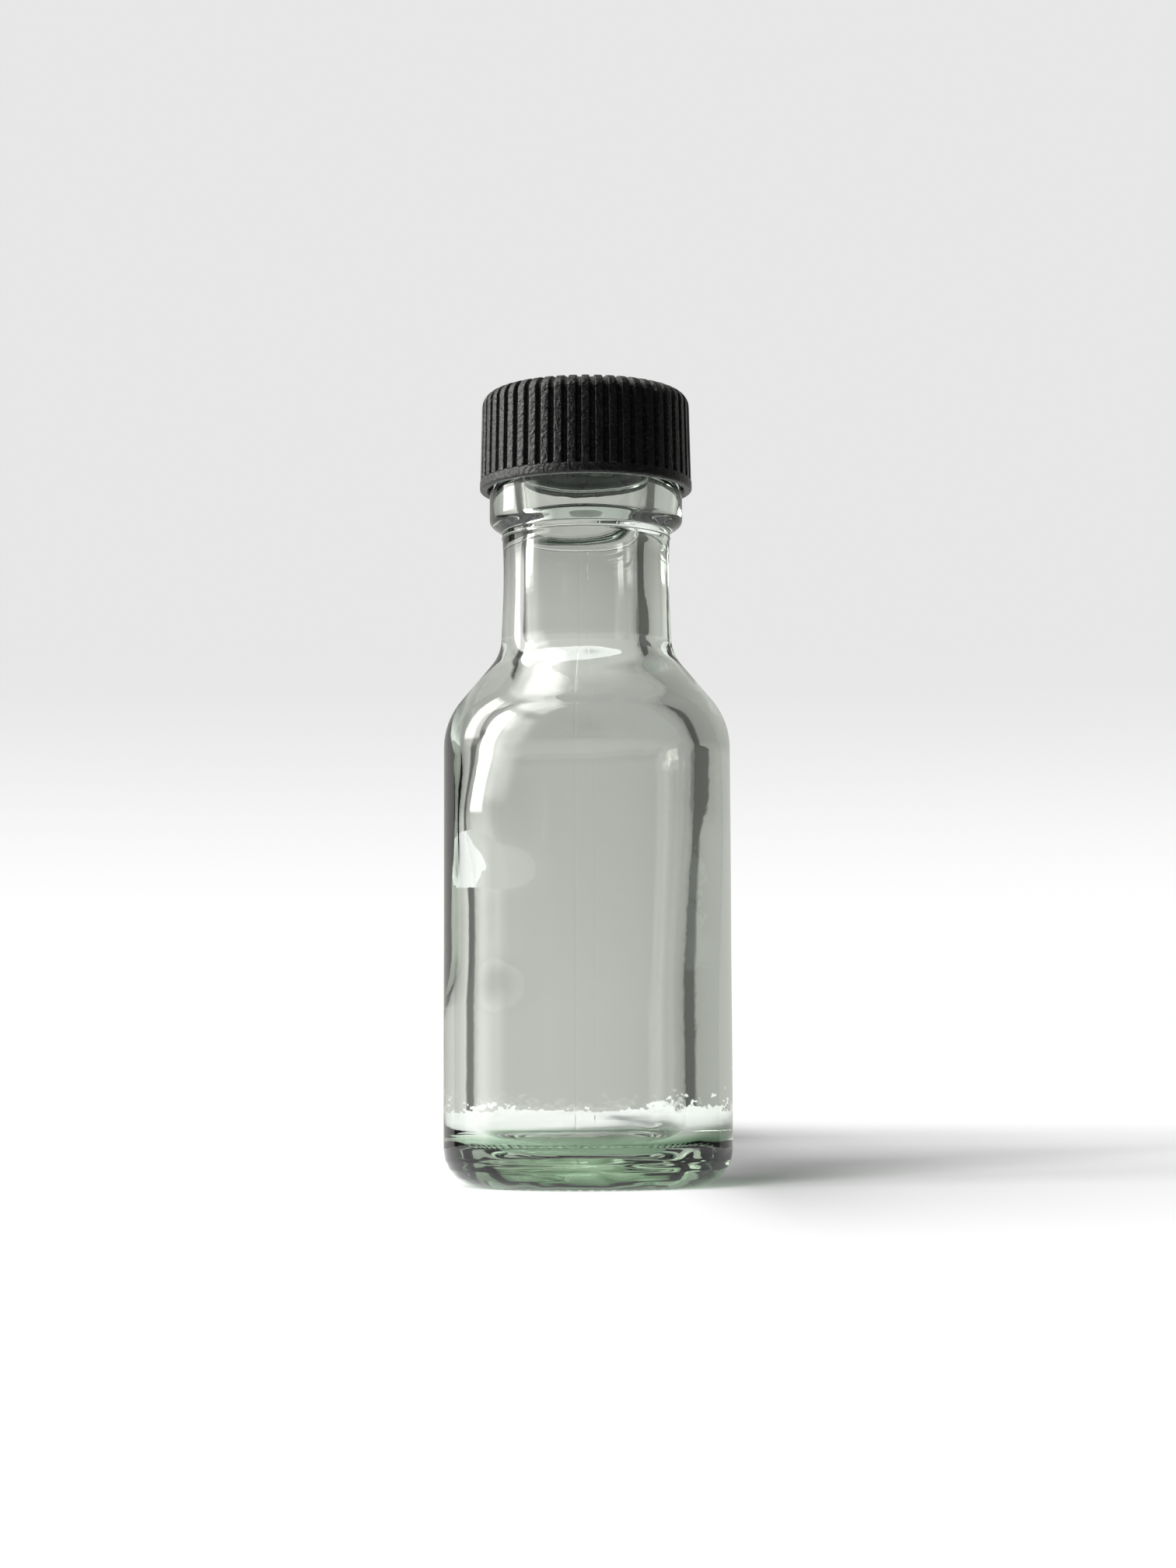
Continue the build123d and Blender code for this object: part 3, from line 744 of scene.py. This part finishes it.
def floor_stage(name, inner, outer, angles, material):
    """A flat disc, or a ring where inner isn't None, lying on the resting plane."""
    count = len(angles)
    verts = [(r * cos(a), r * sin(a), 0) for r, a in zip(outer, angles)]
    faces = [list(range(count))]
    if inner:
        verts += [(r * cos(a), r * sin(a), 0) for r, a in zip(inner, angles)]
        faces = [[k, (k + 1) % count, count + (k + 1) % count, count + k] for k in range(count)]
    stage = new_piece(name, verts, faces)
    stage.data.materials.append(material)
    return stage


def shadow_flag():
    """A sheet just over the floor that only holds back lamp light, to deepen the soft shadow
    behind and to the right of the bottle."""
    left, right, near, far = 0.0, 0.30, -0.16, 0.55
    corners = ((left, near), (right, near), (right, far), (left, far))
    flag = new_piece("flag", [(x, y, FLAG_HEIGHT) for x, y in corners], [(0, 1, 2, 3)])
    material, nodes, links, _, output = new_material("flag")
    place = nodes.new("ShaderNodeTexCoord")
    split = nodes.new("ShaderNodeSeparateXYZ")
    links.new(place.outputs["Object"], split.inputs["Vector"])

    def spread(axis, stops):
        """Strength along an axis, from (metres, strength) stops."""
        low, high = stops[0][0], stops[-1][0]
        reach = nodes.new("ShaderNodeMapRange")
        links.new(split.outputs[axis], reach.inputs["Value"])
        reach.inputs["From Min"].default_value = low
        reach.inputs["From Max"].default_value = high
        values = ramp(nodes, [((at - low) / (high - low), value) for at, value in stops])
        links.new(reach.outputs["Result"], values.inputs["Fac"])
        return values.outputs["Color"]

    across = spread("X", FLAG_ACROSS)
    along = spread("Y", FLAG_ALONG)
    dark = nodes.new("ShaderNodeMath")
    dark.operation = "MULTIPLY"
    links.new(across, dark.inputs[0])
    links.new(along, dark.inputs[1])
    clear = nodes.new("ShaderNodeMath")
    clear.operation = "SUBTRACT"
    clear.inputs[0].default_value = 1
    links.new(dark.outputs["Value"], clear.inputs[1])
    passing = nodes.new("ShaderNodeBsdfTransparent")
    links.new(clear.outputs["Value"], passing.inputs["Color"])
    links.new(passing.outputs["BSDF"], output.inputs["Surface"])
    flag.data.materials.append(material)
    hide_from_object(flag)
    flag.visible_camera = False


def hide_from_object(stage):
    """Leaves it seen by the camera, and by the lamps where it shades them."""
    stage.visible_diffuse = False
    stage.visible_glossy = False
    stage.visible_transmission = False
    stage.visible_volume_scatter = False


def build_world():
    """Camera rays see a plain backdrop; the object sees a grey room with a window at its left."""
    world = bpy.data.worlds.new("studio")
    bpy.context.scene.world = world
    world.use_nodes = True
    nodes, links = world.node_tree.nodes, world.node_tree.links
    nodes.clear()
    place = nodes.new("ShaderNodeTexCoord")
    split = nodes.new("ShaderNodeSeparateXYZ")
    links.new(place.outputs["Generated"], split.inputs["Vector"])

    def math(operation, a, b=None, c=None):
        node = nodes.new("ShaderNodeMath")
        node.operation = operation
        for socket, value in zip(node.inputs, (a, b, c)):
            if value is None:
                continue
            if isinstance(value, (int, float)):
                socket.default_value = value
            else:
                links.new(value, socket)
        return node.outputs["Value"]

    def soft_box(value, low, high, soft):
        """1 between low and high, with soft edges."""
        rise = nodes.new("ShaderNodeMapRange")
        rise.interpolation_type = "SMOOTHSTEP"
        fall = nodes.new("ShaderNodeMapRange")
        fall.interpolation_type = "SMOOTHSTEP"
        for node, a, b in ((rise, low - soft, low + soft), (fall, high + soft, high - soft)):
            links.new(value, node.inputs["Value"])
            node.inputs["From Min"].default_value = a
            node.inputs["From Max"].default_value = b
        return math("MULTIPLY", rise.outputs["Result"], fall.outputs["Result"])

    elevation = math("MULTIPLY", math("ARCSINE", split.outputs["Z"]), 180 / pi)
    azimuth = math("MULTIPLY", math("ARCTAN2", split.outputs["X"], split.outputs["Y"]), 180 / pi)

    # azimuth 0 is straight behind the bottle, negative to the left of the camera
    across = ramp(nodes, WALL_ACROSS)
    lean = math("MULTIPLY", soft_box(azimuth, *WALL_SHIFT_ACROSS),
                soft_box(elevation, *WALL_SHIFT_UP))
    turned = math("MULTIPLY_ADD", lean, WALL_SHIFT, azimuth)
    links.new(math("MULTIPLY_ADD", turned, 1 / 360, 0.5), across.inputs["Fac"])
    fade = nodes.new("ShaderNodeMapRange")
    links.new(elevation, fade.inputs["Value"])
    fade.inputs["From Min"].default_value = WALL_FADE[0]
    fade.inputs["From Max"].default_value = WALL_FADE[1]
    fade.inputs["To Min"].default_value = 1
    fade.inputs["To Max"].default_value = WALL_FADED
    paths = nodes.new("ShaderNodeLightPath")
    light = math("MULTIPLY", across.outputs["Color"], fade.outputs["Result"])
    light = math("MULTIPLY_ADD", soft_box(elevation, *CEILING_BOX), CEILING_LIGHT, light)
    for box_across, box_up, strength in ROOM_LIGHTS:
        box = math("MULTIPLY", soft_box(azimuth, *box_across), soft_box(elevation, *box_up))
        light = math("MULTIPLY_ADD", box, strength, light)

    tint = nodes.new("ShaderNodeCombineColor")
    links.new(light, tint.inputs["Red"])
    links.new(math("MULTIPLY", light, ROOM_GREEN), tint.inputs["Green"])
    links.new(math("MULTIPLY", light, ROOM_BLUE), tint.inputs["Blue"])

    backdrop = nodes.new("ShaderNodeMapRange")
    backdrop.interpolation_type = "SMOOTHSTEP"
    links.new(elevation, backdrop.inputs["Value"])
    backdrop.inputs["From Min"].default_value = BACKDROP_BLEND[0]
    backdrop.inputs["From Max"].default_value = BACKDROP_BLEND[1]
    backdrop.inputs["To Min"].default_value = BACKDROP_WHITE
    backdrop.inputs["To Max"].default_value = BACKDROP_GREY

    seen = nodes.new("ShaderNodeBackground")
    links.new(backdrop.outputs["Result"], seen.inputs["Color"])
    unseen = nodes.new("ShaderNodeBackground")
    links.new(tint.outputs["Color"], unseen.inputs["Color"])
    mix = nodes.new("ShaderNodeMixShader")
    links.new(paths.outputs["Is Camera Ray"], mix.inputs["Fac"])
    links.new(unseen.outputs["Background"], mix.inputs[1])
    links.new(seen.outputs["Background"], mix.inputs[2])
    world.cycles_visibility.diffuse = False        # plain surfaces take their light from the lamps
    output = nodes.new("ShaderNodeOutputWorld")
    links.new(mix.outputs["Shader"], output.inputs["Surface"])


def sun_light(name, azimuth, elevation, spread, strength):
    """A distant lamp that only plain surfaces see. Azimuth 0 is the camera's side, positive
    to its left; all angles in degrees."""
    data = bpy.data.lights.new(name, "SUN")
    data.angle = radians(spread)
    data.energy = strength
    lamp = bpy.data.objects.new(name, data)
    bpy.context.scene.collection.objects.link(lamp)
    a, e = radians(azimuth), radians(elevation)
    towards = Vector((-sin(a) * cos(e), -cos(a) * cos(e), sin(e)))
    lamp.rotation_euler = towards.to_track_quat("Z", "Y").to_euler()
    lamp.visible_glossy = False
    lamp.visible_transmission = False
    return lamp


def build_camera():
    data = bpy.data.cameras.new("camera")
    data.lens = LENS_MM
    data.sensor_width = FILM_MM
    data.clip_start = 0.01
    camera = bpy.data.objects.new("camera", data)
    bpy.context.scene.collection.objects.link(camera)
    camera.location = (0, -EYE_DISTANCE, EYE_HEIGHT)
    camera.rotation_euler = Euler((radians(90 + EYE_PITCH), radians(EYE_ROLL), 0), "XYZ")
    bpy.context.scene.camera = camera


def build_stage():
    floor = floor_material()
    edge, angles = table_edge()
    near = [NEAR_FLOOR] * len(edge)
    floor_stage("floor_near", None, near, angles, floor)
    middle = floor_stage("floor_middle", near, edge, angles, floor)
    middle.visible_glossy = False
    far = floor_stage("floor_far", edge, [FLOOR_REACH] * len(edge), angles, floor)
    hide_from_object(far)
    shadow_flag()
    sun_light("key", 24, 22, 26, 5.6)
    sun_light("side", 52, 22, 44, 2.8)
    sun_light("dome", 0, 90, 170, 0.5)
    build_world()
    bpy.context.scene.view_settings.view_transform = "Standard"


# ---------------------------------------------------------------- assembly

def place_piece(piece, material, body, node):
    piece.data.materials.append(material)
    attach(piece, body)
    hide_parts(node)


place_piece(glass_bottle(), glass_material(), "bottle", "glass_bottle")
place_piece(orifice_reducer(), polyethylene_material(), "bottle", "orifice_reducer")
place_piece(screw_cap(), cap_material(), "cap", "screw_cap")
place_piece(liner_wad(), foam_material(), "liner", "liner_wad")
place_piece(liner_facing(), film_material(), "liner", "liner_facing")

build_stage()
build_camera()
